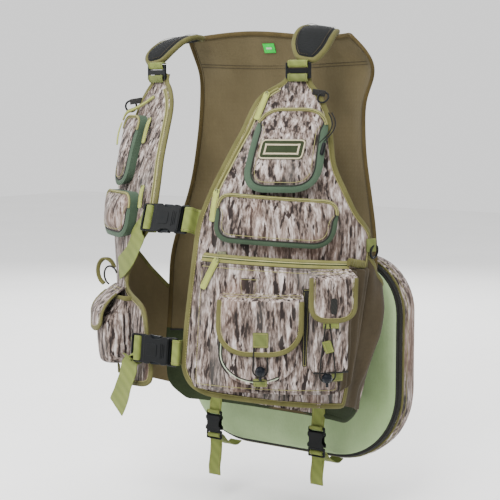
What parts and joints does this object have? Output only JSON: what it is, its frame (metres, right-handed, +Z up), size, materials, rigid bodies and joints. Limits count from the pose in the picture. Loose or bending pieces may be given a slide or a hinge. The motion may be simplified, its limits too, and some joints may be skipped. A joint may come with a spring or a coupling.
{
  "type": "hunting vest",
  "caption": "Sleeveless camouflage field vest with zipped and flap pockets, chest and waist side-release buckles, padded shoulders and a padded seat that drops down behind.",
  "frame": {"origin": "between the shoulder tops, where the vest hangs on its wearer", "axes": "+X is the wearer's left, +Y the wearer's back, +Z up"},
  "size_m": [0.5189, 0.3947, 0.7551],
  "materials": {
    "camo_cloth": "printed camouflage cloth, matt",
    "lining_cloth": "brown lining cloth, matt",
    "webbing": "light olive ribbed webbing",
    "pull_tape": "yellow-green folded tape",
    "pad_cloth": "dark grey spacer mesh over foam",
    "black_plastic": "moulded, fine satin",
    "black_elastic": "braided elastic cord",
    "seat_cloth": "light green coated cloth",
    "foam": "open foam",
    "zip_metal": "dull zip slider"
  },
  "bodies": {
    "vest": {"back_lining": "lining_cloth", "back_yoke": "camo_cloth", "box_pocket": "camo_cloth", "box_toggle": "black_plastic", "cargo_zip_slider": "zip_metal", "chest_buckle_socket": "black_plastic", "game_bag": "camo_cloth", "left_cargo_pocket": "camo_cloth", "left_chest_pocket": "camo_cloth", "left_chest_strap": "webbing", "left_front_panel": "camo_cloth", "left_ladder_lock": "black_plastic", "left_map_pocket": "camo_cloth", "left_seat_buckle_socket": "black_plastic", "left_seat_strap": "webbing", "left_shoulder_pad": "pad_cloth", "left_shoulder_webbing": "webbing", "left_side_panel": "lining_cloth", "left_waist_strap": "webbing", "right_chest_pocket": "camo_cloth", "right_chest_strap": "webbing", "right_front_panel": "camo_cloth", "right_ladder_lock": "black_plastic", "right_map_pocket": "camo_cloth", "right_pouch": "camo_cloth", "right_seat_buckle_socket": "black_plastic", "right_seat_strap": "webbing", "right_shoulder_pad": "pad_cloth", "right_shoulder_webbing": "webbing", "right_side_panel": "lining_cloth", "right_waist_strap": "webbing", "slate_pocket": "camo_cloth", "slate_toggle": "black_plastic", "waist_buckle_socket": "black_plastic"},
    "seat": {"seat_cover": "camo_cloth", "seat_face": "seat_cloth", "seat_foam": "foam"},
    "chest_plug": {"chest_buckle_plug": "black_plastic"},
    "chest_upper": {"chest_upper_arm": "black_plastic"},
    "chest_lower": {"chest_lower_arm": "black_plastic"},
    "waist_plug": {"waist_buckle_plug": "black_plastic"},
    "waist_upper": {"waist_upper_arm": "black_plastic"},
    "waist_lower": {"waist_lower_arm": "black_plastic"},
    "left_seat_plug": {"left_seat_buckle_plug": "black_plastic", "left_seat_tail": "webbing"},
    "right_seat_plug": {"right_seat_buckle_plug": "black_plastic", "right_seat_tail": "webbing"},
    "slate_flap_body": {"slate_flap": "camo_cloth", "slate_cord": "black_elastic"},
    "box_flap_body": {"box_flap": "camo_cloth", "box_cord": "black_elastic"},
    "pouch_flap_body": {"right_pouch_flap": "camo_cloth"},
    "cargo_zip_pull_body": {"cargo_zip_pull": "pull_tape"},
    "left_chest_ring_body": {"left_chest_ring": "black_plastic"},
    "left_edge_zip_pull_body": {"left_edge_zip_pull": "pull_tape"},
    "left_map_zip_pull_body": {"left_map_zip_pull": "pull_tape"},
    "left_waist_ring_body": {"left_waist_ring": "black_plastic"},
    "right_chest_ring_body": {"right_chest_ring": "black_plastic"},
    "right_chest_zip_pull_body": {"right_chest_zip_pull": "pull_tape"},
    "right_map_zip_pull_body": {"right_map_zip_pull": "pull_tape"}
  },
  "joints": [
    {"name": "seat_drop", "type": "hinge", "parent": "vest", "child": "seat", "pos_m": [0, 0.136, -0.706], "axis": [-1, 0, 0], "range_deg": [0, 95]},
    {"name": "chest_release", "type": "slide", "parent": "vest", "child": "chest_plug", "axis": [-1, 0, 0], "range_m": [0, 0.034], "deforming": ["right_chest_strap"]},
    {"name": "chest_upper_squeeze", "type": "hinge", "parent": "chest_plug", "child": "chest_upper", "pos_m": [-0.041, -0.14505, -0.28009], "axis": [0, 0.9563, -0.2924], "range_deg": [0, 6], "stiffness_Nm_per_rad": 0.3},
    {"name": "chest_lower_squeeze", "type": "hinge", "parent": "chest_plug", "child": "chest_lower", "pos_m": [-0.041, -0.15295, -0.30591], "axis": [0, 0.9563, -0.2924], "range_deg": [-6, 0], "stiffness_Nm_per_rad": 0.3},
    {"name": "waist_release", "type": "slide", "parent": "vest", "child": "waist_plug", "axis": [-1, 0, 0], "range_m": [0, 0.034], "deforming": ["right_waist_strap"]},
    {"name": "waist_upper_squeeze", "type": "hinge", "parent": "waist_plug", "child": "waist_upper", "pos_m": [-0.038, -0.17959, -0.47757], "axis": [0, 0.9945, -0.1045], "range_deg": [0, 6], "stiffness_Nm_per_rad": 0.3},
    {"name": "waist_lower_squeeze", "type": "hinge", "parent": "waist_plug", "child": "waist_lower", "pos_m": [-0.038, -0.18241, -0.50443], "axis": [0, 0.9945, -0.1045], "range_deg": [-6, 0], "stiffness_Nm_per_rad": 0.3},
    {"name": "left_seat_release", "type": "slide", "parent": "vest", "child": "left_seat_plug", "axis": [0, 0, -1], "range_m": [0, 0.018]},
    {"name": "right_seat_release", "type": "slide", "parent": "vest", "child": "right_seat_plug", "axis": [0, 0, -1], "range_m": [0, 0.018]},
    {"name": "slate_flap_lift", "type": "hinge", "parent": "vest", "child": "slate_flap_body", "pos_m": [0.14589, -0.13895, -0.395], "axis": [-0.8643, -0.503, 0], "range_deg": [0, 100], "deforming": ["slate_cord"]},
    {"name": "box_flap_lift", "type": "hinge", "parent": "vest", "child": "box_flap_body", "pos_m": [0.22961, -0.08384, -0.359], "axis": [-0.6784, -0.7347, 0], "range_deg": [0, 95], "deforming": ["box_cord"]},
    {"name": "right_pouch_flap_lift", "type": "hinge", "parent": "vest", "child": "pouch_flap_body", "pos_m": [-0.14353, -0.11825, -0.409], "axis": [-0.8439, 0.5364, 0], "range_deg": [0, 85]},
    {"name": "cargo_zip_pull_swing", "type": "hinge", "parent": "vest", "child": "cargo_zip_pull_body", "pos_m": [0.08008, -0.15587, -0.346], "axis": [-0.9528, -0.3037, 0], "range_deg": [0, 80]},
    {"name": "left_chest_ring_swing", "type": "hinge", "parent": "vest", "child": "left_chest_ring_body", "pos_m": [0.18113, -0.02602, -0.102], "axis": [-0.9009, -0.434, 0], "range_deg": [0, 60]},
    {"name": "left_edge_zip_pull_swing", "type": "hinge", "parent": "vest", "child": "left_edge_zip_pull_body", "pos_m": [0.09258, -0.04965, -0.101], "axis": [-0.9844, -0.1761, 0], "range_deg": [0, 80]},
    {"name": "left_map_zip_pull_swing", "type": "hinge", "parent": "vest", "child": "left_map_zip_pull_body", "pos_m": [0.05718, -0.12814, -0.246], "axis": [-0.9754, -0.2203, 0], "range_deg": [0, 80]},
    {"name": "left_waist_ring_swing", "type": "hinge", "parent": "vest", "child": "left_waist_ring_body", "pos_m": [0.24866, 0.01181, -0.33], "axis": [0.0191, -0.9998, 0], "range_deg": [0, 60]},
    {"name": "right_chest_ring_swing", "type": "hinge", "parent": "vest", "child": "right_chest_ring_body", "pos_m": [-0.20555, -0.02122, -0.115], "axis": [0.8, 0.6, 0], "range_deg": [0, 60]},
    {"name": "right_chest_zip_pull_swing", "type": "hinge", "parent": "vest", "child": "right_chest_zip_pull_body", "pos_m": [-0.12974, -0.06071, -0.142], "axis": [-0.9486, 0.3165, 0], "range_deg": [0, 80]},
    {"name": "right_map_zip_pull_swing", "type": "hinge", "parent": "vest", "child": "right_map_zip_pull_body", "pos_m": [-0.09742, -0.11675, -0.246], "axis": [-0.9465, 0.3227, 0], "range_deg": [0, 80]}
  ],
  "couplings": [
    {"joint": "chest_lower_squeeze", "follows": "chest_upper_squeeze", "ratio": -1},
    {"joint": "waist_lower_squeeze", "follows": "waist_upper_squeeze", "ratio": -1}
  ]
}
